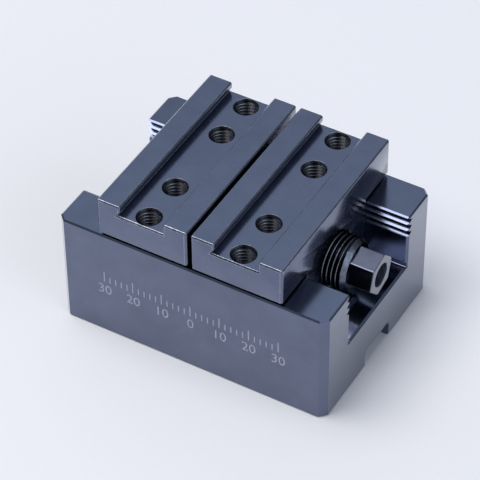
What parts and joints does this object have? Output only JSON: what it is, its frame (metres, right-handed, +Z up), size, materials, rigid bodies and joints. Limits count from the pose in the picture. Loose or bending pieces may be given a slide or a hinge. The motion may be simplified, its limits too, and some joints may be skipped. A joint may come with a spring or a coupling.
{
  "type": "self centering vise",
  "caption": "Compact self centering machine vise: channelled base, two base jaws with tapped holes, and a left- and right-hand spindle with a hex end.",
  "frame": {"origin": "centre of the underside of the base", "axes": "+X along the spindle towards its hex end, +Y across the base, +Z up from the underside"},
  "size_m": [0.0921, 0.066, 0.054],
  "materials": {
    "blackened_base": "blackened, fine ground",
    "blackened_carriage": "blackened, fine ground",
    "blackened_spindle": "blackened, turned",
    "bearing_steel": "ground",
    "screw_black": "black oxide",
    "pin_steel": "hardened and ground"
  },
  "bodies": {
    "base": {"base_body": "blackened_base", "centre_block": "bearing_steel", "centre_block_cap": "bearing_steel", "cap_screw_1": "screw_black", "cap_screw_2": "screw_black", "cap_screw_3": "screw_black", "cap_screw_4": "screw_black", "block_screw_1": "screw_black", "block_screw_2": "screw_black", "block_screw_3": "screw_black", "block_screw_4": "screw_black", "block_dowel_1": "pin_steel", "block_dowel_2": "pin_steel"},
    "spindle": {"spindle": "blackened_spindle"},
    "left_jaw": {"left_carriage": "blackened_carriage"},
    "right_jaw": {"right_carriage": "blackened_carriage"}
  },
  "joints": [
    {"name": "spindle_turn", "type": "hinge", "parent": "base", "child": "spindle", "pos_m": [0, 0, 0.0324], "axis": [1, 0, 0], "range_deg": [-144, 3600]},
    {"name": "right_jaw_slide", "type": "slide", "parent": "base", "child": "right_jaw", "axis": [1, 0, 0], "range_m": [-0.0006, 0.015]},
    {"name": "left_jaw_slide", "type": "slide", "parent": "base", "child": "left_jaw", "axis": [-1, 0, 0], "range_m": [-0.0006, 0.015]}
  ],
  "couplings": [
    {"joint": "spindle_turn", "follows": "right_jaw_slide", "rad_per_m": 4188.8},
    {"joint": "left_jaw_slide", "follows": "right_jaw_slide", "ratio": 1}
  ]
}
